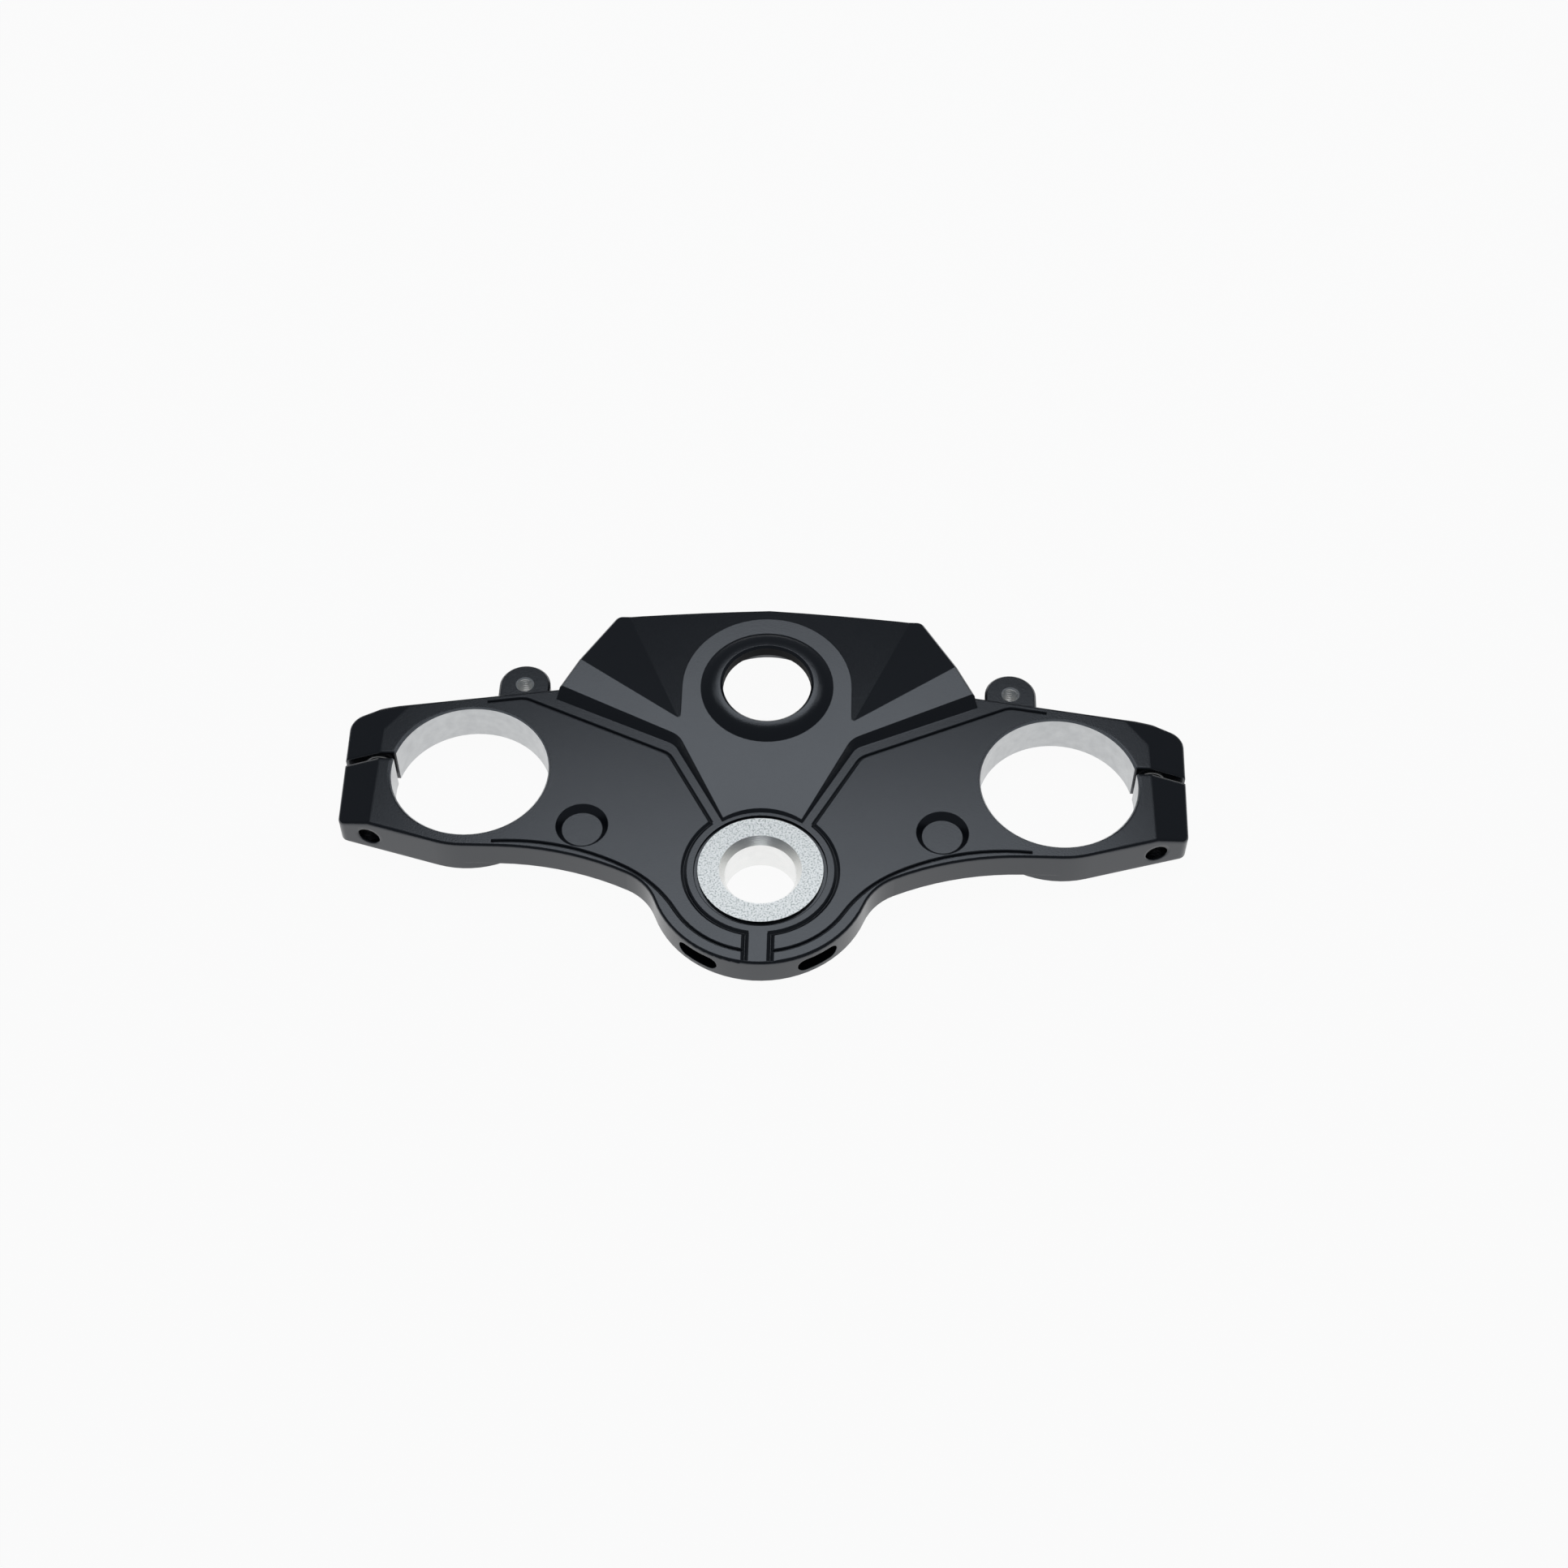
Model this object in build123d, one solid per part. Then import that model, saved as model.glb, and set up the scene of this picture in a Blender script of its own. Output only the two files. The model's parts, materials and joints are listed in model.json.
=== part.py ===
from build123d import *
import os
from math import asin, atan2, cos, degrees, radians, sin, sqrt, tan

# Top yoke (triple clamp) of a motorcycle fork, one casting.
# Millimetres and degrees. +X to the right of the rider, +Y ahead (towards the fork line
# and the key switch), +Z up. Features are placed from the stem axis and the main top face;
# the finished part is then lifted so that the soles of hub and clamps stand on z = 0.

# Fork clamps
fork_spacing = 187.0  # between the two fork tube axes
fork_ahead = 36.3  # fork tube axes ahead of the stem axis
fork_bore = 50.0
clamp_wall = 4.4
clamp_height = 13.5
clamp_reach = 40.1  # fork axis to the outer end of the clamp, at its rear corner
clamp_flare = 1.4  # how much farther out the front corner is
clamp_rear_angle = 16.0  # rear wall of the clamp, from the X direction
clamp_front_angle = 9.0  # front wall of the clamp, from the X direction
clamp_rear_corner = 3.0
clamp_front_corner = 5.0
end_fall_start = 29.5  # fork axis to the crease where the end begins to fall
end_fall_angle = 22.0
corner_fall_angle = 10.0  # small facet at the front outer corner
corner_fall_turn = 36.0
corner_fall_reach = 33.0  # fork axis to that facet
slot_width = 2.3
slot_ahead = 5.0  # slot ahead of the fork axis
pinch_side = 30.0  # pinch bolt to the side of the fork axis
pinch_drop = 6.9
pinch_tap = 6.8
pinch_clearance = 8.4
mouth_chamfer = 0.5

# Plate
plate_thickness = 9.5
top_edge_round = 0.9
sole_chamfer = 0.8
waist_inside = 11.5  # narrowest place of the arm, inside the fork axis
waist_radius = 95.0  # rear edge of the arm
waist_round = 18.0  # between that edge and the stem boss
pocket_depth = 4.0
pocket_wall = 5.0
pocket_round = 4.0

# Stem boss
stem_boss = 68.8
stem_hub = 42.0
stem_bore = 22.4
stem_mouth_flare = 1.6
stem_mouth_depth = 3.0
stem_land = 38.9
stem_land_rise = 0.3
ring_groove = 1.2  # beside the land
ring_band = 2.2
outer_groove = 1.7  # beside the band
bridge_width = 5.6
bridge_groove = 2.2

# Raised deck around the key switch
deck_start = 6.0  # ahead of the stem, where the deck plane leaves the main face
deck_slope = 3.78
deck_wall_angle = 35.0  # from upright
tongue_gap = 1.25  # stem ring groove to the foot of the tongue
tongue_angle = 61.3  # side of the tongue towards the stem
shoulder_angle = 24.2  # side of the deck towards the clamp
shoulder_side = 29.0  # bend between the two, from the middle
shoulder_ahead = 48.1
shoulder_round = 6.0
nose_margin = 6.1  # collar to the front edge of the nose
nose_half_width = 50.4
nose_bow = 1.9
nose_corner = 3.0
flank_angle = 26.9  # from the Y direction
nose_chamfer = 0.6
collar_radius = 27.5
facet_gap = 0.8  # collar side to the point where the facets leave the deck
facet_behind = 12.7  # that point behind the key switch axis
facet_angle = 34.2  # edge between the deck and the outer facet
ridge_inset = 3.6  # nose corner to the end of the ridge between the facets
ridge_end_height = 0.8
nose_middle_height = 3.5

# Key switch opening
switch_ahead = 69.3
switch_bore = 28.6
switch_lip = 42.9
switch_lip_rise = 2.2
switch_lip_chamfer = 0.8
switch_web = 2.0
switch_pocket = 46.0

# Lines in the main face
line_width = 1.2
line_depth = 0.8
rim_width = 4.4  # stem boss edge to the line in its rim
rim_line_turn = 31.0  # where it leaves that circle, below the X direction
rim_line_bend_side = 42.0
rim_line_bend_ahead = 0.1
rim_line_inset = 1.8  # from the rear edge at the waist
rim_line_end = 9.5  # end of the line, inside the fork axis
tongue_ledge = 3.2  # deck foot to the line beside the tongue
shoulder_ledge = 4.0  # deck foot to the line beside the shoulder
front_line_inset = 2.4  # from the front edge of the clamp
front_line_end = 3.0  # end of the line, inside the fork axis

# Dimples, lugs, openings in the stem boss
dimple_side = 56.3
dimple_ahead = 15.5
dimple_top = 16.4
dimple_floor = 12.8
dimple_depth = 2.3
lug_inside = 14.3  # inside the fork axis
lug_ahead = 36.0  # ahead of the fork axis
lug_radius = 8.3
lug_drop = 0.8
lug_chamfer = 0.7
lug_tap = 5.0
window_angle = 32.5
window_length = 13.8
window_height = 5.6
window_depth = 7.0
window_drop = 5.0

# Positions that follow from the sizes above
fork_x = fork_spacing / 2
end_x = fork_x + clamp_reach
clamp_radius = fork_bore / 2 + clamp_wall
rear_y = fork_ahead - clamp_radius
waist_x = fork_x - waist_inside
stem_radius = stem_boss / 2
outer_ring = stem_land / 2 + ring_groove + ring_band + outer_groove / 2
rim_line_radius = stem_radius - rim_width
tongue_foot = stem_land / 2 + ring_groove + tongue_gap
nose_ahead = switch_ahead + collar_radius + nose_margin
nose_tip = (nose_half_width, nose_ahead - nose_bow)
facet_root = (collar_radius + facet_gap, switch_ahead - facet_behind)
under = -plate_thickness
foot = -clamp_height
high = 12.0  # room above the part for a cutter
far = 400.0  # longer than the part, for cutters that go right through


def along(angle):
    return cos(radians(angle)), sin(radians(angle))


def meet(p, p_angle, q, q_angle):
    """Point where the line through p meets the line through q."""
    ax, ay = along(p_angle)
    bx, by = along(q_angle)
    t = ((q[0] - p[0]) * by - (q[1] - p[1]) * bx) / (ax * by - ay * bx)
    return p[0] + t * ax, p[1] + t * ay


def beside(point, angle, distance):
    """Point moved to the right of a direction."""
    c, s = along(angle)
    return point[0] + distance * s, point[1] - distance * c


def on_ring(point, angle, radius):
    """Where the line through a point leaves a circle about the stem, going ahead."""
    c, s = along(angle)
    gap = point[0] * s - point[1] * c
    step = sqrt(radius**2 - gap**2) - point[0] * c - point[1] * s
    return point[0] + step * c, point[1] + step * s


def circles_meet(radius, middle, other_radius):
    """Right one of the two points where a circle about the stem meets another circle."""
    gap = sqrt(middle[0]**2 + middle[1]**2)
    x, y = middle[0] / gap, middle[1] / gap
    near = (radius**2 - other_radius**2 + gap**2) / (2 * gap)
    side = sqrt(radius**2 - near**2)
    return near * x - side * y, near * y + side * x


def both_sides(shape):
    return shape + mirror(shape, about=Plane.YZ)


def slab(outline, bottom, top):
    return extrude(Pos(0, 0, bottom) * outline, amount=top - bottom, dir=(0, 0, 1))


def deck_z(y):
    return (y - deck_start) * tan(radians(deck_slope))


def clamp_points():
    """Tangent points on the clamp circle and the corners at its outer end."""
    c, s = along(clamp_rear_angle)
    rear = (fork_x + clamp_radius * s, fork_ahead - clamp_radius * c)
    c, s = along(clamp_front_angle)
    front = (fork_x + clamp_radius * s, fork_ahead + clamp_radius * c)
    rear_corner = meet(rear, clamp_rear_angle, (end_x, 0), 90)
    front_corner = meet(front, -clamp_front_angle, (end_x + clamp_flare, 0), 90)
    return rear, rear_corner, front_corner, front


def round_end(half):
    """Upright corners at the outer end of a clamp."""
    rear, rear_corner, front_corner, front = clamp_points()
    half = fillet(half.vertices().sort_by_distance(front_corner)[0], clamp_front_corner)
    return fillet(half.vertices().sort_by_distance(rear_corner)[0], clamp_rear_corner)


def plate_half():
    """Right half of the plate in plan, up to the hidden line under the deck."""
    rear, rear_corner, front_corner, front = clamp_points()
    middle = (waist_x, rear_y - waist_radius)
    corner = circles_meet(stem_radius, middle, waist_radius)
    turn = degrees(atan2(corner[1], corner[0]))
    end = degrees(atan2(corner[1] - middle[1], corner[0] - middle[0]))
    root = meet(front, -clamp_front_angle, nose_tip, 90 + flank_angle)
    outline = [
        CenterArc((0, 0), stem_radius, -90, 90 + turn),
        CenterArc(middle, waist_radius, end, 90 - end),
        Line((waist_x, rear_y), (fork_x, rear_y)),
        CenterArc((fork_x, fork_ahead), clamp_radius, -90, clamp_rear_angle),
        Polyline(rear, rear_corner, front_corner, root, (0, root[1]), (0, -stem_radius)),
    ]
    half = round_end(make_face(outline))
    return fillet(half.vertices().sort_by_distance(corner)[0], waist_round)


def clamp_half():
    """Right fork clamp in plan."""
    rear, rear_corner, front_corner, front = clamp_points()
    sweep_back = -180 - clamp_rear_angle - clamp_front_angle
    outline = [
        CenterArc((fork_x, fork_ahead), clamp_radius, clamp_rear_angle - 90, sweep_back),
        Polyline(rear, rear_corner, front_corner, front),
    ]
    return round_end(make_face(outline))


def end_fall():
    """Cutter for the falling end of the right clamp."""
    block = Pos(high, 0, high) * Box(2 * high, far, 2 * high)
    return Pos(fork_x + end_fall_start, 0, 0) * Rot(0, end_fall_angle, 0) * block


def corner_facet():
    """Cutter for the small facet at the front outer corner of a clamp."""
    x, y = along(corner_fall_turn)
    hinge = Pos(fork_x + corner_fall_reach * x, fork_ahead + corner_fall_reach * y, 0)
    block = Pos(high, 0, high) * Box(2 * high, 6 * high, 2 * high)
    return hinge * Rot(0, 0, corner_fall_turn) * Rot(0, corner_fall_angle, 0) * block


def open_edges(faces):
    """Edges that belong to only one of the given faces."""
    edges = [e for f in faces for e in f.edges()]
    return [e for e in edges if sum((e.center() - o.center()).length < 1e-4 for o in edges) == 1]


def plate():
    """Arms and fork clamps, with their edges rounded."""
    half = slab(plate_half(), under, 0) + slab(clamp_half(), foot, 0)
    half -= end_fall()
    tops = [f for f in half.faces() if f.normal_at().Z > 0.5]
    front = clamp_points()[3][1]
    rim = [e for e in open_edges(tops) if e.center().X > 1 and e.center().Y < front + 2]
    half = fillet(rim, top_edge_round) - corner_facet()
    soles = [f for f in half.faces() if f.normal_at().Z < -0.5 and f.center().Z < (under + foot) / 2]
    return both_sides(chamfer(open_edges(soles), sole_chamfer))


def bow_point(x):
    """Point on the bowed front edge of the nose."""
    radius = (nose_half_width**2 + nose_bow**2) / (2 * nose_bow)
    return x, nose_ahead - radius + sqrt(radius**2 - x**2)


def deck_outline():
    """Deck in plan, with the hidden part of it under the panels."""
    side = meet(nose_tip, 90 + flank_angle, (0, fork_ahead), 0)
    half = [
        Polyline((0, nose_ahead), (0, 0), side, nose_tip),
        ThreePointArc(nose_tip, bow_point(nose_half_width / 2), (0, nose_ahead)),
    ]
    whole = both_sides(make_face(half))
    tips = [v for v in whole.vertices() if abs(v.Y - nose_tip[1]) < 0.01]
    return fillet(tips, nose_corner)


def panel_space():
    """Everything above the right panel, up to the slanted wall of the deck."""
    bend = (shoulder_side, shoulder_ahead)
    a = along(tongue_angle)
    b = along(shoulder_angle)
    low = (bend[0] - a[0] * far / 3, bend[1] - a[1] * far / 3)
    out = (bend[0] + b[0] * far / 3, bend[1] + b[1] * far / 3)
    face = make_face(Polyline(low, bend, out, (far, out[1]), (far, low[1]), close=True))
    face = fillet(face.vertices().sort_by_distance(bend)[0], shoulder_round)
    return extrude(face, amount=high, taper=-deck_wall_angle)


def ring_space():
    """Everything above the stem ring, up to the slanted end of the tongue."""
    wall_out = high * tan(radians(deck_wall_angle))
    return Pos(0, 0, high / 2) * Cone(tongue_foot, tongue_foot + wall_out, high)


def plane_through(a, b, c):
    normal = (Vector(*b) - Vector(*a)).cross(Vector(*c) - Vector(*a))
    if normal.Z < 0:
        normal = -normal
    return Plane(a, x_dir=Vector(*b) - Vector(*a), z_dir=normal)


def under_plane(outline, top):
    """Block on an outline up to a sloping plane, with its upper edge chamfered."""
    block = split(slab(outline, under, 2 * high), bisect_by=top, keep=Keep.BOTTOM)
    roof = max(block.faces(), key=lambda f: f.normal_at().dot(top.z_dir))
    rim = [e for e in roof.edges() if abs(e.center().X) > 0.01]
    return chamfer(rim, nose_chamfer)


def facet_space():
    """Everything above the two falling facets of the right half, outside the collar."""
    shoulder = meet(facet_root, facet_angle, nose_tip, 90 + flank_angle)
    a = (*facet_root, deck_z(facet_root[1]))
    b = (*shoulder, deck_z(shoulder[1]))
    c = (*bow_point(nose_half_width - ridge_inset), ridge_end_height)
    m = (0, nose_ahead, nose_middle_height)
    width = 2 * collar_radius
    collar = Pos(0, switch_ahead) * Circle(collar_radius)
    collar += Pos(0, switch_ahead - collar_radius) * Rectangle(width, width)
    area = Pos(far / 4, switch_ahead + far / 4 - collar_radius) * Rectangle(far / 2, far / 2)
    right = Pos(far / 2, 0) * Rectangle(far, far)
    outline = deck_outline() & right
    block = slab(area - collar, under, high)
    block -= under_plane(outline, plane_through(a, c, m))
    return block - under_plane(outline, plane_through(a, b, c))


def deck():
    """Raised deck: sloping top, slanted walls, falling facets and a flat collar."""
    slope = Plane((0, deck_start, 0), z_dir=(0, -sin(radians(deck_slope)), cos(radians(deck_slope))))
    body = under_plane(deck_outline(), slope)
    body -= both_sides(panel_space())
    body -= ring_space()
    return body - both_sides(facet_space())


def pockets():
    """Hollows in the underside, between the bosses and a wall along the outline."""
    plan = both_sides(plate_half()) + deck_outline()
    plan = offset(plan, amount=-pocket_wall - pocket_round)
    plan -= Circle(stem_radius + pocket_round)
    plan -= both_sides(Pos(fork_x, fork_ahead) * Circle(clamp_radius + pocket_round))
    plan -= Pos(0, switch_ahead) * Circle(switch_pocket / 2 + pocket_wall + pocket_round)
    plan -= Pos(0, switch_ahead) * Rectangle(pocket_wall + 2 * pocket_round, far)
    cores = [f for f in plan.faces() if abs(f.center().X) < fork_x]
    hollow = slab(offset(cores[0], amount=pocket_round), under - 1, under + pocket_depth)
    for core in cores[1:]:
        hollow += slab(offset(core, amount=pocket_round), under - 1, under + pocket_depth)
    return hollow


def switch_frame():
    """Place on the deck where the key switch goes through."""
    return Pos(0, switch_ahead, deck_z(switch_ahead)) * Rot(deck_slope, 0, 0)


def switch_ring():
    """Domed lip round the key switch opening."""
    inner = switch_bore / 2
    crest = inner + switch_lip_chamfer
    outer = switch_lip / 2
    start = switch_lip_rise - switch_lip_chamfer
    section = [
        TangentArc((crest, switch_lip_rise), (outer, 0), tangent=(1, 0)),
        Polyline((outer, 0), (outer, -switch_web), (inner, -switch_web), (inner, start)),
        Line((inner, start), (crest, switch_lip_rise)),
    ]
    return revolve(Plane.XZ * make_face(section), Axis.Z)


def switch_opening():
    pocket = Pos(0, 0, -far / 2 - switch_web) * Cylinder(switch_pocket / 2, far)
    return switch_frame() * (pocket + Cylinder(switch_bore / 2, far))


def lugs():
    """Two threaded lugs ahead of the clamps."""
    root = lug_ahead - fork_bore / 2
    tab = Circle(lug_radius) + Pos(0, -root / 2) * Rectangle(2 * lug_radius, root)
    place = Pos(fork_x - lug_inside, fork_ahead + lug_ahead)
    lug = slab(place * tab, under, -lug_drop)
    rim = lug.faces().sort_by(Axis.Z)[-1].edges().sort_by(Axis.Y)[1:]
    return both_sides(chamfer(rim, lug_chamfer))


def lug_holes():
    place = Pos(fork_x - lug_inside, fork_ahead + lug_ahead)
    return both_sides(place * (Cylinder(lug_tap / 2, far) + hole_mouth(lug_tap, -lug_drop)))


def stem_seat():
    """Land on top and hub below, about the stem bore."""
    land = slab(Circle(stem_land / 2), under, stem_land_rise)
    return land + slab(Circle(stem_hub / 2), foot, under + 1)


def stem_hole():
    bore = Cylinder(stem_bore / 2, far)
    top = stem_land_rise
    mouth = Cone(stem_bore / 2, stem_bore / 2 + stem_mouth_flare, stem_mouth_depth)
    return bore + Pos(0, 0, top - stem_mouth_depth / 2) * mouth


def hole_mouth(diameter, z):
    """Small chamfer at the upper mouth of a hole."""
    cone = Cone(diameter / 2, diameter / 2 + mouth_chamfer, mouth_chamfer)
    return Pos(0, 0, z - mouth_chamfer / 2) * cone


def fork_holes():
    """Fork bores, the slots that let them close, and the pinch bolt holes."""
    bore = Cylinder(fork_bore / 2, far) + hole_mouth(fork_bore, 0)
    slot = Pos(clamp_reach, slot_ahead) * Box(2 * clamp_reach, slot_width, far)
    axis = Pos(pinch_side, slot_ahead, -pinch_drop)
    tap = axis * Pos(0, -clamp_radius, 0) * Rot(90, 0, 0) * Cylinder(pinch_tap / 2, 2 * clamp_radius)
    clear = axis * Pos(0, clamp_radius, 0) * Rot(90, 0, 0) * Cylinder(pinch_clearance / 2, 2 * clamp_radius)
    return both_sides(Pos(fork_x, fork_ahead) * (bore + slot + tap + clear))


def dimples():
    cone = Cone(dimple_floor / 2, dimple_top / 2, dimple_depth)
    return both_sides(Pos(dimple_side, dimple_ahead, -dimple_depth / 2) * cone)


def windows():
    """Round-ended openings in the rear wall of the stem boss."""
    c, s = along(window_angle)
    wall = Plane((stem_radius * s, -stem_radius * c, -window_drop), x_dir=(c, s, 0), z_dir=(s, -c, 0))
    slot = wall * SlotOverall(window_length, window_height)
    return both_sides(extrude(slot, amount=window_depth, both=True))


def groove(path, width):
    """Line with a V section, of the given width at the main face."""
    rise = 0.2
    half = (1 + rise / line_depth) * width / 2
    tangent = path % 0
    place = Plane(path @ 0, x_dir=(-tangent.Y, tangent.X, 0), z_dir=tangent)
    section = Polyline((-half, rise), (0, -line_depth), (half, rise), close=True)
    return sweep(place * make_face(section), path=path)


def deck_line():
    """Line along the foot of the deck on the right panel."""
    bend = (shoulder_side, shoulder_ahead)
    a = beside(bend, tongue_angle, tongue_ledge)
    b = beside(bend, shoulder_angle, shoulder_ledge)
    c = beside(clamp_points()[3], -clamp_front_angle, front_line_inset)
    points = [
        on_ring(a, tongue_angle, outer_ring),
        meet(a, tongue_angle, b, shoulder_angle),
        meet(b, shoulder_angle, c, -clamp_front_angle),
        meet(c, -clamp_front_angle, (fork_x - front_line_end, 0), 90),
    ]
    return FilletPolyline(points, radius=shoulder_round)


def rim_line():
    """Line along the rear rim of the right half."""
    start = -90 + degrees(asin((bridge_width + bridge_groove) / 2 / rim_line_radius))
    leave = CenterArc((0, 0), rim_line_radius, start, -rim_line_turn - start)
    bend = TangentArc(leave @ 1, (rim_line_bend_side, rim_line_bend_ahead), tangent=leave % 1)
    end = (fork_x - rim_line_end, rear_y + rim_line_inset)
    last = TangentArc(bend @ 1, end, tangent=bend % 1)
    return Wire([leave.edge(), bend.edge(), last.edge()])


def grooves():
    """Lines that frame the right panel, with those beside the bridge and the ring."""
    side = (bridge_width + bridge_groove) / 2
    edge = stem_radius - top_edge_round
    foot_of_deck = beside((shoulder_side, shoulder_ahead), tongue_angle, tongue_ledge)
    x, y = on_ring(foot_of_deck, tongue_angle, outer_ring)
    start = degrees(asin((side - outer_groove / 2) / outer_ring)) - 90
    ring = CenterArc((0, 0), outer_ring, start, degrees(atan2(y, x)) - start)
    bridge = Line((side, -sqrt(edge**2 - side**2)), (side, -sqrt(outer_ring**2 - side**2)))
    cut = groove(deck_line(), line_width) + groove(rim_line(), line_width)
    return both_sides(cut + groove(ring, outer_groove) + groove(bridge, bridge_groove))


def ring_cut():
    inner = stem_land / 2
    face = Circle(inner + ring_groove) - Circle(inner)
    return slab(face, -line_depth, high)


def triple_clamp():
    body = plate() + deck() + lugs() + stem_seat()
    body -= pockets()
    body -= switch_opening()
    body += switch_frame() * switch_ring()
    body -= ring_cut()
    body -= grooves()
    body -= dimples()
    body -= windows()
    body -= stem_hole()
    body -= fork_holes()
    body -= lug_holes()
    return body


part = Pos(0, 0, clamp_height) * triple_clamp()
part.label = "triple_clamp"
os.makedirs("parts", exist_ok=True)
export_step(part, "parts/triple_clamp.step")
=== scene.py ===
"""Looks of a motorcycle triple clamp: the painted casting with its bare machined seats and cut threads."""

import json
import math

import bpy
from bpy.props import FloatProperty, FloatVectorProperty, IntProperty, PointerProperty, StringProperty
from mathutils import Matrix, Vector

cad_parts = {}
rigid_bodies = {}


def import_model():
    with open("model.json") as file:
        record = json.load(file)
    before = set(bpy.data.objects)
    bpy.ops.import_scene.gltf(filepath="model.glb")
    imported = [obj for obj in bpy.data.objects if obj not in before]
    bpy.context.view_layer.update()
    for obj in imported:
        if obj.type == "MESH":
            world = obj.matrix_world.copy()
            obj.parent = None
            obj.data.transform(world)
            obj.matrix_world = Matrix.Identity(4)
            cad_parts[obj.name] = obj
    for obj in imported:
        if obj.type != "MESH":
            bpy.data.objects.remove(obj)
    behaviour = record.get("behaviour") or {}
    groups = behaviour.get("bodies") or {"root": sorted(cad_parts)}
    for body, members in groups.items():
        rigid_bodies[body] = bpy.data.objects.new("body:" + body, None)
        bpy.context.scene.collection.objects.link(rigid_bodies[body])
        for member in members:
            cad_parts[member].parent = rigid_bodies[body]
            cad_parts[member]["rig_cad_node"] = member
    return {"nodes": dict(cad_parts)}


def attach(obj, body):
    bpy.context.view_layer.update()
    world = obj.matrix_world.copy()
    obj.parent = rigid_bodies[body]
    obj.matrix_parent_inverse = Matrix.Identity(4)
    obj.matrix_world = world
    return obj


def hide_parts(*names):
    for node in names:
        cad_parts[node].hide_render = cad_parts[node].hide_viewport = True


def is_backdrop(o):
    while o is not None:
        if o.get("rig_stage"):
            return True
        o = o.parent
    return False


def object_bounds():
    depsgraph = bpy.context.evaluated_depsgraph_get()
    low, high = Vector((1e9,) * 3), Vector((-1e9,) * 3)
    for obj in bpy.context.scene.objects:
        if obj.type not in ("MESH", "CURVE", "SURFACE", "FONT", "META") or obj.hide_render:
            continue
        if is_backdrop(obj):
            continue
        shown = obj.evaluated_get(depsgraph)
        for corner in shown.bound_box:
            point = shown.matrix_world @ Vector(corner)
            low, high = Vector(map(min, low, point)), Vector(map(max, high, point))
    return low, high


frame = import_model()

bl_info = {
    "name": "Triple clamp looks",
    "version": (1, 0, 0),
    "blender": (4, 5, 0),
    "location": "View3D > Sidebar > Triple clamp",
    "description": "Dresses a cast top yoke with paint, machined seats and threads, and lights it",
    "category": "Object",
}

NODE = "triple_clamp"
CASTING = "yoke_casting"
NORMALS = "source_normal"
MM = 0.001
# Scale at which a wave texture repeats once in one unit of length.
WAVE = math.pi / 10
# Faces that meet at a smaller angle than this are shaded as one round form.
SMOOTH_ANGLE = math.radians(28)
# Corners of the source's loose faces that are nearer than this are one point.
MERGE = 0.001 * MM
# How near to its nominal place a face or vertex has to be, to belong to a machined feature.
NEAR = 0.1 * MM
# Largest share of a face's normal along the axis of a hole, for the face to be part of its wall.
HOLE_WALL = 0.2
# Largest upright share of the normal of a wall and of a conical mouth, and least one of a level face.
WALL, CONE, LEVEL = 0.3, 0.8, 0.9
WHITE = (1.0, 1.0, 1.0, 1.0)
# Share of the floor's glow for the camera and in reflections; the rest is matt and keeps the shadow.
FLOOR_GLOW = 0.95
# Side of the square floor, in metres.
FLOOR_SIZE = 6.0
# Width of the camera's sensor, in millimetres.
SENSOR_WIDTH = 36.0
# Nearest and farthest distance that the camera sees, in metres.
CLIP = (0.01, 20.0)
# Finishes, in the order of the casting's material slots.
PAINT, BORED, FACED, REAMED, TAPPED, DUSTED = range(6)


def linear(hex_colour):
    """Linear RGBA of an sRGB hex colour such as #1a1c1f."""
    channels = [int(hex_colour[i:i + 2], 16) / 255 for i in (1, 3, 5)]
    return [c / 12.92 if c <= 0.04045 else ((c + 0.055) / 1.055) ** 2.4 for c in channels] + [1.0]


def set_inputs(tree, node, inputs):
    """Sets the inputs of a node, and links those for which an output is given."""
    for name, value in inputs.items():
        if isinstance(value, bpy.types.NodeSocket):
            tree.links.new(value, node.inputs[name])
        else:
            node.inputs[name].default_value = value


def add_node(tree, kind, inputs=None, **options):
    """Adds a node, sets its properties, and sets or links its inputs."""
    node = tree.nodes.new(kind)
    for name, value in options.items():
        setattr(node, name, value)
    set_inputs(tree, node, inputs or {})
    return node


def new_material(name):
    """A new material, with its node tree and its shader."""
    material = bpy.data.materials.new(name)
    material.use_nodes = True
    return material, material.node_tree, material.node_tree.nodes["Principled BSDF"]


def length(name, description, millimetres):
    """Length property whose default is given in millimetres."""
    return FloatProperty(name=name, description=description, default=millimetres * MM, unit="LENGTH")


def colour(name, description, default):
    """Colour property, as an sRGB hex value."""
    return StringProperty(name=name, description=description, default=default)


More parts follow.
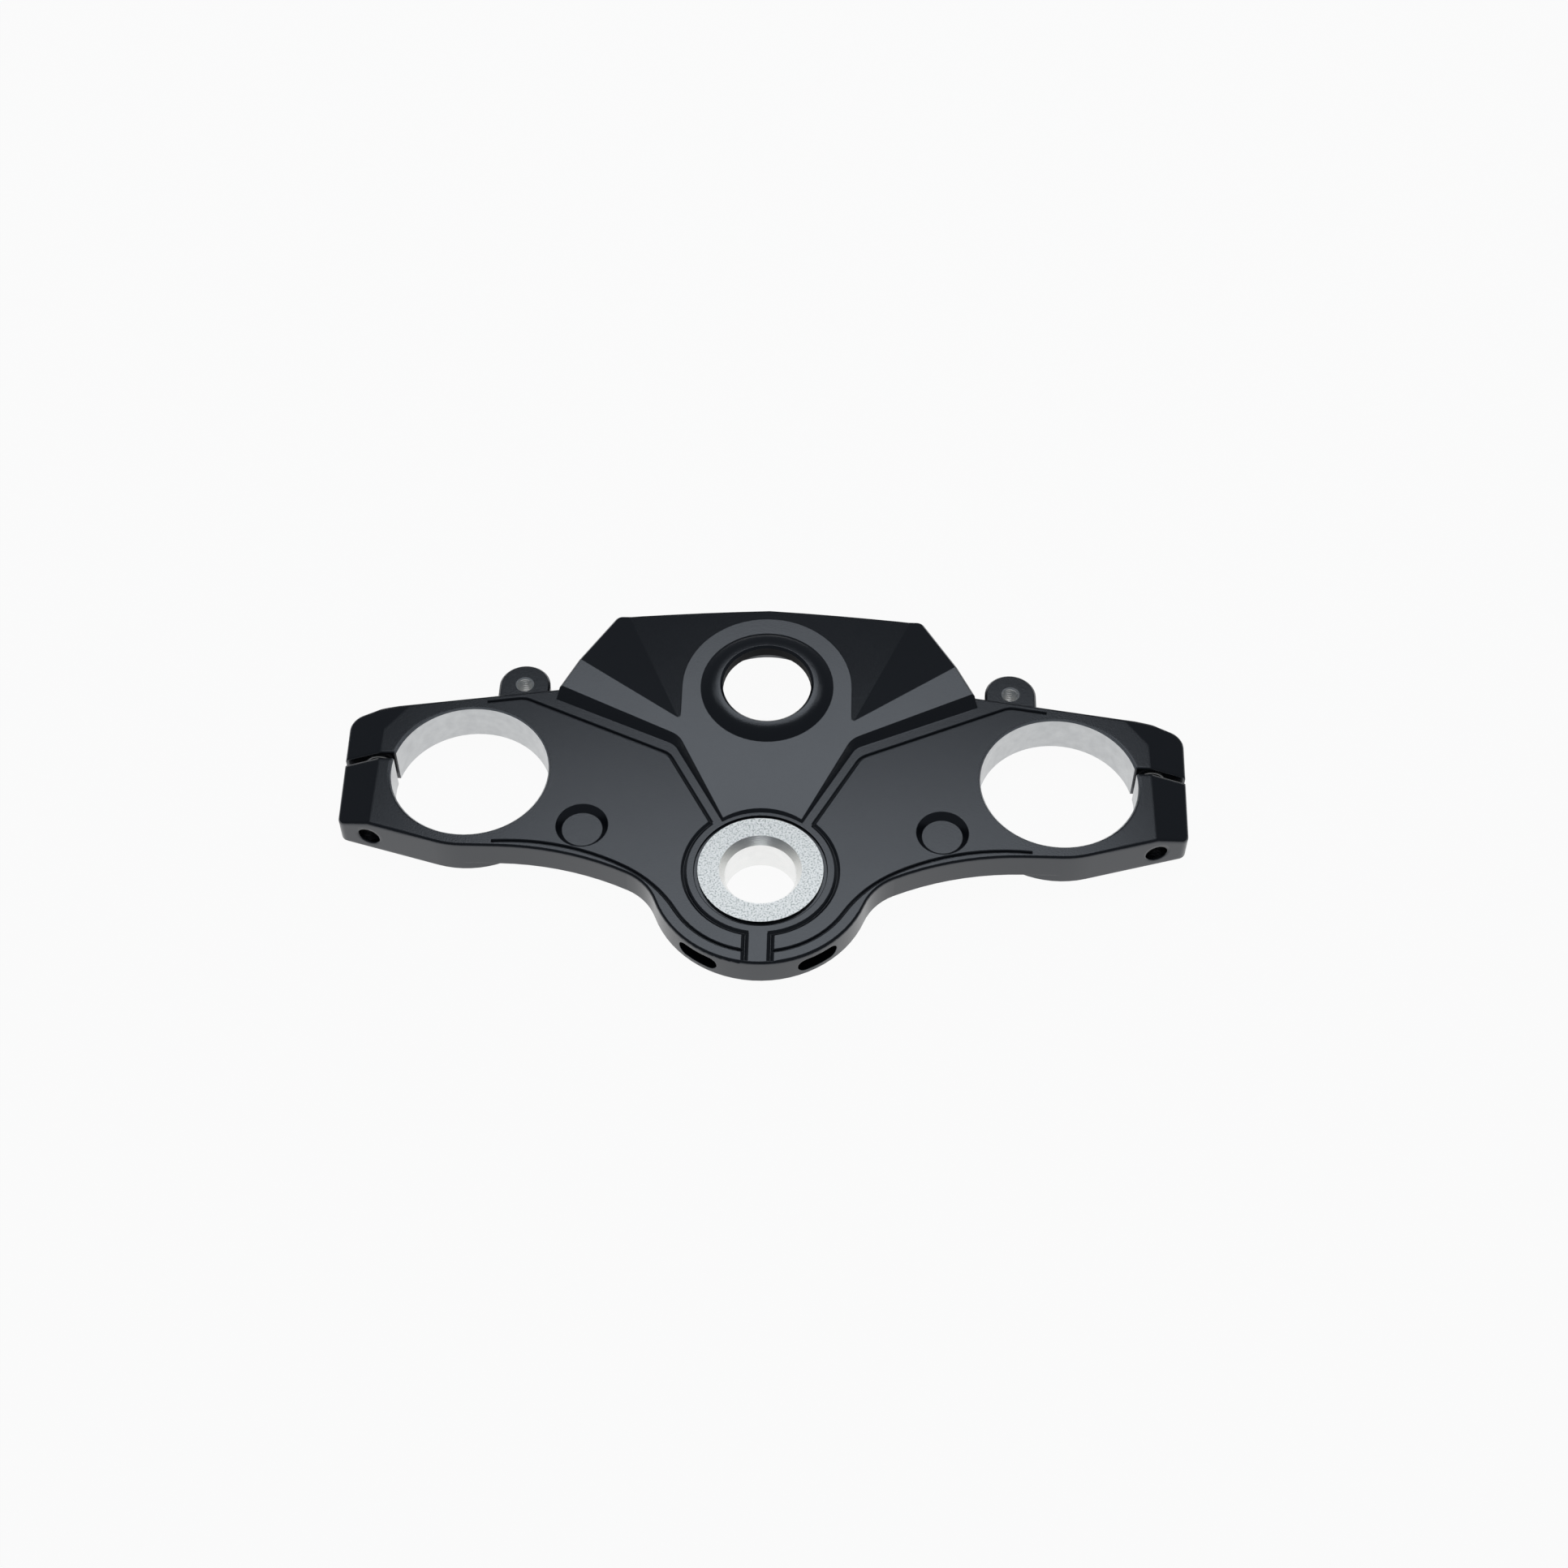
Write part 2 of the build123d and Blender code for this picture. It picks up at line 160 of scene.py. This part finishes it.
class YokePlaces(bpy.types.PropertyGroup):
    """Where the machined features of the casting are, and how its painted edges are rounded"""

    fork_side: length("Fork side", "Fork axis from the middle", 93.5)
    fork_ahead: length("Fork ahead", "Fork axis ahead of the stem", 36.3)
    fork_radius: length("Fork bore", "Radius of the fork bore", 25.0)
    fork_reach: length("Fork reach", "Steep faces this far around the fork bore are bare", 0.45)
    stem_radius: length("Stem bore", "Radius of the stem bore", 11.2)
    stem_reach: length("Stem reach", "Steep faces this far around the stem bore are bare", 1.8)
    land_radius: length("Nut seat", "Radius of the nut seat", 19.45)
    land_height: length("Seat height", "Nut seat above the soles", 13.8)
    hub_radius: length("Hub", "Radius of the stem hub", 21.0)
    switch_ahead: length("Switch ahead", "Key switch axis ahead of the stem", 69.4)
    switch_radius: length("Switch bore", "Radius of the key switch bore", 14.3)
    switch_reach: length("Switch reach", "Walls this far around the key switch bore are dusted", 0.35)
    lug_side: length("Lug side", "Lug hole from the middle", 79.2)
    lug_ahead: length("Lug ahead", "Lug hole ahead of the stem", 72.3)
    pinch_side: length("Pinch side", "Pinch bolt from the middle", 123.5)
    pinch_height: length("Pinch height", "Pinch bolt above the soles", 6.6)
    edge_round: length("Edge round", "Radius of the paint over an edge", 0.35)
    bend_round: length("Bend round", "Radius of the paint over the bends of the clamp ends", 1.3)
    bend_start: length("Bend start", "Where the larger radius starts, from the middle", 104)
    bend_full: length("Bend full", "Where the larger radius is reached, from the middle", 112)


class YokeThreads(bpy.types.PropertyGroup):
    """Cut threads of the lugs and of the pinch bolts"""

    lug_core: length("Lug core", "Core radius of the lug thread", 2.5)
    lug_pitch: length("Lug pitch", "Pitch of the lug thread", 1.0)
    lug_depth: length("Lug depth", "Depth of the lug thread", 0.5)
    lug_first: length("Lug start", "Lower end of the lug thread", 4.0)
    lug_last: length("Lug end", "Upper end of the lug thread, below its countersink", 12.2)
    pinch_core: length("Pinch core", "Core radius of the pinch thread", 3.4)
    pinch_pitch: length("Pinch pitch", "Pitch of the pinch thread", 1.25)
    pinch_depth: length("Pinch depth", "Depth of the pinch thread", 0.6)
    pinch_first: length("Pinch start", "Rear end of the pinch thread, ahead of the stem", 14.6)
    pinch_last: length("Pinch end", "Front end of the pinch thread, at the slot", 40.1)
    pinch_bare: length("Pinch bare", "Where the paint in the pinch hole ends, ahead of the stem", 20.0)
    cuts: IntProperty(name="Cuts", description="Rows of faces in one pitch", default=4, min=3, max=12)


class YokeColours(bpy.types.PropertyGroup):
    """Colours of the finishes"""

    paint: colour("Paint", "Satin black of the paint", "#111419")
    paint_pale: colour("Paint, pale", "Paler specks of the paint", "#181b21")
    sheen: colour("Sheen", "Cool tint of the paint's sheen", "#f2f7ff")
    metal: colour("Aluminium", "Bored aluminium of the fork clamps", "#d3d5d6")
    metal_dark: colour("Aluminium, dark", "Darker tool marks in it", "#b4b6b8")
    reamed: colour("Reamed bore", "Freshly reamed aluminium of the stem bore", "#fafaf9")
    seat: colour("Seat", "Freshly faced aluminium of the nut seat", "#eff0ef")
    seat_dark: colour("Seat, dark", "Darker specks in it", "#adb2b1")
    floor: colour("Floor", "Pale studio floor", "#f4f4f4")
    light: colour("Light", "Slightly cool light of the softboxes", "#f6fafd")
    room: colour("Room", "Cool tone of the dim room", "#e2ebf7")


class YokeStage(bpy.types.PropertyGroup):
    """Camera and lights"""

    eye: FloatVectorProperty(
        name="Camera", description="Place of the camera",
        default=(0.01706, -0.43007, 0.6283), subtype="XYZ", unit="LENGTH")
    target: FloatVectorProperty(
        name="Target", description="Point the camera looks at",
        default=(0.006419, 0.033235, 0.0135), subtype="XYZ", unit="LENGTH")
    roll: FloatProperty(
        name="Roll", description="Turn of the camera about its line of sight",
        default=0.00308, subtype="ANGLE")
    lens: FloatProperty(
        name="Lens", description="Focal length on a 36 mm sensor, in millimetres",
        default=55.9, unit="CAMERA")
    main_height: length("Main height", "Height of the main softbox above the floor", 900)
    main_width: length("Main width", "Width of the main softbox", 500)
    main_near: length("Main near edge", "Near edge of the main softbox, ahead of the stem", 300)
    main_far: length("Main far edge", "Far edge of the main softbox, ahead of the stem", 752)
    main_glow: FloatProperty(
        name="Main glow", description="Brightness of the main softbox, where 1 is white", default=1.19)
    wide_height: length("Wide height", "Height of the wide softbox above the floor", 950)
    wide_width: length("Wide width", "Width of the wide softbox", 1056)
    wide_near: length("Wide near edge", "Near edge of the wide softbox, ahead of the stem", 441)
    wide_far: length("Wide far edge", "Far edge of the wide softbox, ahead of the stem", 663)
    wide_glow: FloatProperty(
        name="Wide glow", description="Brightness of the wide softbox, where 1 is white", default=0.58)
    room_glow: FloatProperty(name="Room", description="Brightness of the dim room", default=0.14)


def settings(name):
    """One of the groups of sizes, colours or stage values that the scene holds."""
    return getattr(bpy.context.scene, name)


def only(piece):
    """Makes a piece the only selected and active object."""
    bpy.ops.object.select_all(action="DESELECT")
    piece.select_set(True)
    bpy.context.view_layer.objects.active = piece


def select_faces(piece, test):
    """Selects the faces whose centre and normal pass a test, and ends in edit mode."""
    bpy.ops.object.mode_set(mode="OBJECT")
    for face in piece.data.polygons:
        face.select = test(face.center, face.normal)
    bpy.ops.object.mode_set(mode="EDIT")


def keep_normals(mesh):
    """Stores the exact normals of the source at each corner, where merging can't change them."""
    kept = mesh.attributes.new(NORMALS, "FLOAT_VECTOR", "CORNER")
    flat = [value for corner in mesh.corner_normals for value in corner.vector]
    kept.data.foreach_set("vector", flat)


def use_normals(mesh, plain_faces):
    """Shades the mesh by the stored normals; faces that were cut later are shaded by their own shape."""
    kept = mesh.attributes[NORMALS]
    flat = [0.0] * (3 * len(mesh.loops))
    kept.data.foreach_get("vector", flat)
    normals = [flat[3 * i:3 * i + 3] for i in range(len(mesh.loops))]
    for face in plain_faces:
        for corner in face.loop_indices:
            normals[corner] = (0.0, 0.0, 0.0)
    mesh.attributes.remove(kept)
    mesh.normals_split_custom_set(normals)


class YOKE_OT_casting(bpy.types.Operator):
    """Copies the source's casting and joins its loose faces, with their exact normals kept"""

    bl_idname = "yoke.casting"
    bl_label = "Casting"

    def execute(self, context):
        node = frame["nodes"][NODE]
        only(node)
        bpy.ops.object.duplicate()
        piece = context.view_layer.objects.active
        piece.name = CASTING
        piece.data.name = CASTING
        del piece["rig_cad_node"]
        keep_normals(piece.data)
        bpy.ops.mesh.customdata_custom_splitnormals_clear()
        bpy.ops.object.mode_set(mode="EDIT")
        bpy.ops.mesh.select_all(action="SELECT")
        bpy.ops.mesh.remove_doubles(threshold=MERGE)
        bpy.ops.object.mode_set(mode="OBJECT")
        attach(piece, "root")
        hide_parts(NODE)
        return {"FINISHED"}


def cut_thread(piece, axis_point, axis, sizes, ends, cuts):
    """Cuts a helical V thread into the wall of a plain hole between two places along its axis."""
    core, pitch, depth = sizes
    first, last = ends
    axis = Vector(axis)
    side = axis.orthogonal().normalized()
    other = axis.cross(side)

    def place(point):
        """Distance of a point along the axis, and its two distances across it."""
        offset = point - axis_point
        along = offset.dot(axis)
        return along, offset.dot(side), offset.dot(other)

    def on_wall(centre, normal):
        """Whether a face belongs to the plain wall between the two ends."""
        along, u, v = place(centre)
        inside = first - NEAR < along < last + NEAR
        across = abs(normal.dot(axis)) < HOLE_WALL
        return inside and across and abs(math.hypot(u, v) - core) < 1.2 * NEAR

    bpy.ops.object.mode_set(mode="EDIT")
    bpy.ops.mesh.select_mode(type="FACE")
    bpy.ops.mesh.select_all(action="DESELECT")
    step = pitch / cuts
    for i in range(1, int((last - first) / step)):
        select_faces(piece, on_wall)
        bpy.ops.mesh.bisect(plane_co=axis_point + axis * (first + i * step), plane_no=axis)
    bpy.ops.object.mode_set(mode="OBJECT")
    for vertex in piece.data.vertices:
        along, u, v = place(vertex.co)
        radius = math.hypot(u, v)
        if abs(radius - core) > 1.5 * NEAR or not first < along < last:
            continue
        turn = (along / pitch - math.atan2(v, u) / (2 * math.pi)) % 1.0
        fade = min(1.0, (along - first) / pitch, (last - along) / pitch)
        grown = core + depth * fade * (1 - abs(2 * turn - 1))
        scale = grown / radius
        vertex.co = axis_point + axis * along + side * (u * scale) + other * (v * scale)


class YOKE_OT_threads(bpy.types.Operator):
    """Cuts the threads of the lugs and of the pinch bolts"""

    bl_idname = "yoke.threads"
    bl_label = "Threads"

    def execute(self, context):
        piece = bpy.data.objects[CASTING]
        places, threads = settings("yoke_places"), settings("yoke_threads")
        only(piece)
        lug_sizes = (threads.lug_core, threads.lug_pitch, threads.lug_depth)
        lug_ends = (threads.lug_first, threads.lug_last)
        pinch_sizes = (threads.pinch_core, threads.pinch_pitch, threads.pinch_depth)
        pinch_ends = (threads.pinch_first, threads.pinch_last)
        for sign in (-1, 1):
            lug = Vector((sign * places.lug_side, places.lug_ahead, 0))
            cut_thread(piece, lug, (0, 0, 1), lug_sizes, lug_ends, threads.cuts)
            pinch = Vector((sign * places.pinch_side, 0, places.pinch_height))
            cut_thread(piece, pinch, (0, 1, 0), pinch_sizes, pinch_ends, threads.cuts)
        return {"FINISHED"}


def black_paint():
    """Satin black powder paint, sprayed on the casting and baked."""
    # A smooth dark film with a soft sheen and a fine grain, rounded where it runs over an edge.
    colours, places = settings("yoke_colours"), settings("yoke_places")
    material, tree, shader = new_material("powder_paint_black_baked")
    place = add_node(tree, "ShaderNodeTexCoord").outputs["Object"]
    # Real grain is about 0.15 mm; drawn at 0.5 mm so that it shows in the picture.
    grain = add_node(tree, "ShaderNodeTexNoise", {"Vector": place, "Scale": 1 / (0.5 * MM), "Detail": 2.0})
    cloud = add_node(tree, "ShaderNodeTexNoise", {"Vector": place, "Scale": 1 / (14 * MM), "Detail": 3.0})
    tone = add_node(tree, "ShaderNodeMix", {
        "Factor": grain.outputs["Fac"],
        "A": linear(colours.paint), "B": linear(colours.paint_pale)}, data_type="RGBA")
    sheen = add_node(tree, "ShaderNodeMapRange", {
        "Value": cloud.outputs["Fac"], "To Min": 0.19, "To Max": 0.22})
    # The paint rounds the edges a little, and the cast bends at the clamp ends more.
    across = add_node(tree, "ShaderNodeSeparateXYZ", {"Vector": place})
    side = add_node(tree, "ShaderNodeMath", {0: across.outputs["X"]}, operation="ABSOLUTE")
    soft = add_node(tree, "ShaderNodeMapRange", {
        "Value": side.outputs["Value"], "From Min": places.bend_start, "From Max": places.bend_full,
        "To Min": places.edge_round, "To Max": places.bend_round})
    edge = add_node(tree, "ShaderNodeBevel", {"Radius": soft.outputs["Result"]}, samples=8)
    bump = add_node(tree, "ShaderNodeBump", {
        "Height": grain.outputs["Fac"], "Normal": edge.outputs["Normal"],
        "Strength": 0.4, "Distance": 0.05 * MM})
    set_inputs(tree, shader, {
        "Base Color": tone.outputs["Result"], "Roughness": sheen.outputs["Result"],
        "Normal": bump.outputs["Normal"], "IOR": 1.75, "Specular Tint": linear(colours.sheen)})
    return material


def dry_paint():
    """Black powder paint that reached the wall of the switch bore only as a dusting."""
    # Dry and matt: it hardly mirrors the pale floor.
    material, tree, shader = new_material("powder_paint_black_dusted")
    set_inputs(tree, shader, {
        "Base Color": linear(settings("yoke_colours").paint), "Roughness": 0.7, "IOR": 1.3})
    return material


def bored_aluminium(name, pale, dark, roughness):
    """Aluminium, bored, reamed or tapped with a tool that feeds along the hole."""
    # Pale metal with fine rings around the wall and slightly cloudy brightness.
    material, tree, shader = new_material(name)
    place = add_node(tree, "ShaderNodeTexCoord").outputs["Object"]
    # Real feed is about 0.15 mm a turn; drawn at 0.5 mm so that it shows in the picture.
    rings = add_node(tree, "ShaderNodeTexWave", {
        "Vector": place, "Scale": WAVE / (0.5 * MM), "Distortion": 1.5}, bands_direction="Z")
    cloud = add_node(tree, "ShaderNodeTexNoise", {"Vector": place, "Scale": 1 / (3 * MM), "Detail": 4.0})
    tone = add_node(tree, "ShaderNodeMix", {
        "Factor": cloud.outputs["Fac"], "A": linear(pale), "B": linear(dark)}, data_type="RGBA")
    bump = add_node(tree, "ShaderNodeBump", {
        "Height": rings.outputs["Fac"], "Strength": 0.3, "Distance": 0.02 * MM})
    set_inputs(tree, shader, {
        "Base Color": tone.outputs["Result"], "Normal": bump.outputs["Normal"],
        "Metallic": 1.0, "Roughness": roughness})
    return material


def faced_aluminium():
    """Aluminium, faced on the lathe."""
    # Matt pale metal with faint turned rings and the open grain of the casting as specks.
    colours = settings("yoke_colours")
    material, tree, shader = new_material("aluminium_faced")
    place = add_node(tree, "ShaderNodeTexCoord").outputs["Object"]
    # Real rings and specks are about 0.2 mm apart; drawn at 0.6 mm so that they show in the picture.
    rings = add_node(tree, "ShaderNodeTexWave", {
        "Vector": place, "Scale": WAVE / (0.6 * MM), "Distortion": 0.5},
        wave_type="RINGS", rings_direction="Z")
    specks = add_node(tree, "ShaderNodeTexNoise", {"Vector": place, "Scale": 1 / (0.6 * MM), "Detail": 3.0})
    clear = add_node(tree, "ShaderNodeMapRange", {
        "Value": specks.outputs["Fac"], "From Min": 0.46, "From Max": 0.66})
    tone = add_node(tree, "ShaderNodeMix", {
        "Factor": clear.outputs["Result"],
        "A": linear(colours.seat), "B": linear(colours.seat_dark)}, data_type="RGBA")
    height = add_node(tree, "ShaderNodeMath", {
        0: rings.outputs["Fac"], 1: specks.outputs["Fac"]}, operation="ADD")
    bump = add_node(tree, "ShaderNodeBump", {
        "Height": height.outputs["Value"], "Strength": 0.3, "Distance": 0.03 * MM})
    set_inputs(tree, shader, {
        "Base Color": tone.outputs["Result"], "Normal": bump.outputs["Normal"],
        "Metallic": 1.0, "Roughness": 0.33})
    return material


def from_axis(centre, side, ahead):
    """Distance in plan from the nearer of two upright axes, one on each side of the middle."""
    return math.hypot(abs(centre.x) - side, centre.y - ahead)


def in_lug_thread(centre):
    """Whether a face belongs to a lug's thread or to the small chamfer above it."""
    places, threads = settings("yoke_places"), settings("yoke_threads")
    reach = threads.lug_core + threads.lug_depth + 2 * NEAR
    return from_axis(centre, places.lug_side, places.lug_ahead) < reach


def in_pinch_thread(centre):
    """Whether a face belongs to the tapped wall of a pinch bolt's hole."""
    places, threads = settings("yoke_places"), settings("yoke_threads")
    out = math.hypot(abs(centre.x) - places.pinch_side, centre.z - places.pinch_height)
    return out < threads.pinch_core + threads.pinch_depth + NEAR and centre.y < threads.pinch_last


class YOKE_OT_finishes(bpy.types.Operator):
    """Gives the casting its paint, leaves the machined seats bare and smooths the round forms"""

    bl_idname = "yoke.finishes"
    bl_label = "Finishes"

    def execute(self, context):
        piece = bpy.data.objects[CASTING]
        colours = settings("yoke_colours")
        finishes = {
            PAINT: black_paint(),
            BORED: bored_aluminium("aluminium_bored", colours.metal, colours.metal_dark, roughness=0.32),
            FACED: faced_aluminium(),
            REAMED: bored_aluminium("aluminium_reamed", colours.reamed, colours.seat, roughness=0.25),
            TAPPED: bored_aluminium("aluminium_tapped", colours.reamed, colours.seat, roughness=0.55),
            DUSTED: dry_paint(),
        }
        piece.data.materials.clear()
        for index in sorted(finishes):
            piece.data.materials.append(finishes[index])
        for face in piece.data.polygons:
            face.material_index = self.finish_of(face.center, face.normal)
        only(piece)
        bpy.ops.object.shade_smooth_by_angle(angle=SMOOTH_ANGLE)
        threads = [f for f in piece.data.polygons if in_lug_thread(f.center) or in_pinch_thread(f.center)]
        use_normals(piece.data, threads)
        return {"FINISHED"}

    def finish_of(self, centre, normal):
        """Finish of a face, from its place and the way it faces."""
        places, threads = settings("yoke_places"), settings("yoke_threads")
        from_fork = from_axis(centre, places.fork_side, places.fork_ahead)
        from_stem = math.hypot(centre.x, centre.y)
        from_switch = math.hypot(centre.x, centre.y - places.switch_ahead)
        wall = abs(normal.z) < WALL
        # A conical mouth counts with its bore, a level face doesn't.
        steep = abs(normal.z) < CONE
        if steep and from_fork < places.fork_radius + places.fork_reach:
            return BORED
        if steep and from_stem < places.stem_radius + places.stem_reach:
            return REAMED
        if steep and in_lug_thread(centre):
            return TAPPED
        if wall and from_switch < places.switch_radius + places.switch_reach:
            return DUSTED
        if in_pinch_thread(centre) and centre.y > threads.pinch_bare:
            return BORED
        if from_stem < places.land_radius and normal.z > LEVEL and centre.z > places.land_height - NEAR:
            return FACED
        if from_stem < places.hub_radius and normal.z < -LEVEL and centre.z < NEAR:
            return FACED
        return PAINT


class YOKE_OT_stage(bpy.types.Operator):
    """Sets the floor, the lights, the world and the camera"""

    bl_idname = "yoke.stage"
    bl_label = "Stage"

    def execute(self, context):
        stage = settings("yoke_stage")
        self.floor()
        self.world(context.scene)
        main = (stage.main_width, stage.main_near, stage.main_far)
        wide = (stage.wide_width, stage.wide_near, stage.wide_far)
        self.softbox("softbox_main", stage.main_height, main, stage.main_glow)
        self.softbox("softbox_wide", stage.wide_height, wide, stage.wide_glow)
        self.camera(context.scene, stage)
        context.scene.view_settings.view_transform = "Standard"
        return {"FINISHED"}

    def floor(self):
        """A pale paper floor, nearly white for the camera and in reflections, with a trace of shadow."""
        bpy.ops.object.select_all(action="DESELECT")
        bpy.ops.mesh.primitive_plane_add(size=FLOOR_SIZE, location=(0, 0, 0))
        floor = bpy.context.view_layer.objects.active
        floor.name = "studio_floor"
        floor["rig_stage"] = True
        material = bpy.data.materials.new("paper_backdrop_matt")
        material.use_nodes = True
        tree = material.node_tree
        tree.nodes.clear()
        path = add_node(tree, "ShaderNodeLightPath")
        seen = add_node(tree, "ShaderNodeMath", {
            0: path.outputs["Is Camera Ray"], 1: path.outputs["Is Glossy Ray"]}, operation="MAXIMUM")
        seen = add_node(tree, "ShaderNodeMath", {
            0: seen.outputs["Value"], 1: path.outputs["Is Transmission Ray"]}, operation="MAXIMUM")
        matt = add_node(tree, "ShaderNodeBsdfDiffuse", {"Color": linear(settings("yoke_colours").floor)})
        glow = add_node(tree, "ShaderNodeEmission", {"Color": WHITE, "Strength": 1.0})
        share = add_node(tree, "ShaderNodeMath", {
            0: seen.outputs["Value"], 1: FLOOR_GLOW}, operation="MULTIPLY")
        mixed = add_node(tree, "ShaderNodeMixShader", {
            0: share.outputs["Value"], 1: matt.outputs[0], 2: glow.outputs[0]})
        add_node(tree, "ShaderNodeOutputMaterial", {"Surface": mixed.outputs[0]})
        floor.data.materials.append(material)

    def world(self, scene):
        """White behind the floor for the camera, a dim cool room for everything else."""
        world = bpy.data.worlds.new("studio_room")
        world.use_nodes = True
        tree = world.node_tree
        tree.nodes.clear()
        path = add_node(tree, "ShaderNodeLightPath")
        room = add_node(tree, "ShaderNodeBackground", {
            "Color": linear(settings("yoke_colours").room), "Strength": settings("yoke_stage").room_glow})
        white = add_node(tree, "ShaderNodeBackground", {"Color": WHITE, "Strength": 1.0})
        mixed = add_node(tree, "ShaderNodeMixShader", {
            0: path.outputs["Is Camera Ray"], 1: room.outputs[0], 2: white.outputs[0]})
        add_node(tree, "ShaderNodeOutputWorld", {"Surface": mixed.outputs[0]})
        scene.world = world

    def softbox(self, name, height, plan, glow):
        """A level panel of soft light that shines down, whose surface has a given brightness."""
        width, near, far = plan
        light = bpy.data.lights.new(name, "AREA")
        light.shape = "RECTANGLE"
        light.size, light.size_y = width, far - near
        light.energy = glow * math.pi * width * (far - near)
        light.color = linear(settings("yoke_colours").light)[:3]
        lamp = bpy.data.objects.new(name, light)
        lamp.visible_camera = False
        lamp.location = (0.0, (near + far) / 2, height)
        bpy.context.scene.collection.objects.link(lamp)

    def camera(self, scene, stage):
        """The camera of the photograph, turned a little about its line of sight."""
        data = bpy.data.cameras.new("photo_camera")
        data.lens = stage.lens
        data.sensor_width = SENSOR_WIDTH
        data.clip_start, data.clip_end = CLIP
        camera = bpy.data.objects.new("photo_camera", data)
        back = (Vector(stage.eye) - Vector(stage.target)).normalized()
        right = Vector((0, 0, 1)).cross(back).normalized()
        up = back.cross(right)
        turned_right = right * math.cos(stage.roll) + up * math.sin(stage.roll)
        turned_up = up * math.cos(stage.roll) - right * math.sin(stage.roll)
        axes = Matrix((turned_right, turned_up, back)).transposed().to_4x4()
        camera.matrix_world = Matrix.Translation(Vector(stage.eye)) @ axes
        scene.collection.objects.link(camera)
        scene.camera = camera


class YOKE_PT_panel(bpy.types.Panel):
    """Lists the steps and their sizes"""

    bl_label = "Triple clamp"
    bl_idname = "YOKE_PT_panel"
    bl_space_type = "VIEW_3D"
    bl_region_type = "UI"
    bl_category = "Triple clamp"

    def draw(self, context):
        for step in STEPS:
            self.layout.operator(step.bl_idname)
        for name in GROUPS:
            group = getattr(context.scene, name)
            for key in group.__annotations__:
                self.layout.prop(group, key)


GROUPS = {
    "yoke_places": YokePlaces,
    "yoke_threads": YokeThreads,
    "yoke_colours": YokeColours,
    "yoke_stage": YokeStage,
}
STEPS = (YOKE_OT_casting, YOKE_OT_threads, YOKE_OT_finishes, YOKE_OT_stage)


def register():
    for item in (*GROUPS.values(), *STEPS, YOKE_PT_panel):
        bpy.utils.register_class(item)
    for name, group in GROUPS.items():
        setattr(bpy.types.Scene, name, PointerProperty(type=group))


def unregister():
    for name in GROUPS:
        delattr(bpy.types.Scene, name)
    for item in reversed((*GROUPS.values(), *STEPS, YOKE_PT_panel)):
        bpy.utils.unregister_class(item)


def box():
    """Corners of everything that rides on the part, as plain lists."""
    bpy.context.view_layer.update()
    return [list(corner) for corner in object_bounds()]


def main():
    register()
    boxes = {"cad": box()}
    bpy.ops.yoke.casting()
    bpy.ops.yoke.threads()
    bpy.ops.yoke.finishes()
    bpy.ops.yoke.stage()
    boxes["visual"] = box()


if __name__ == "__main__":
    main()
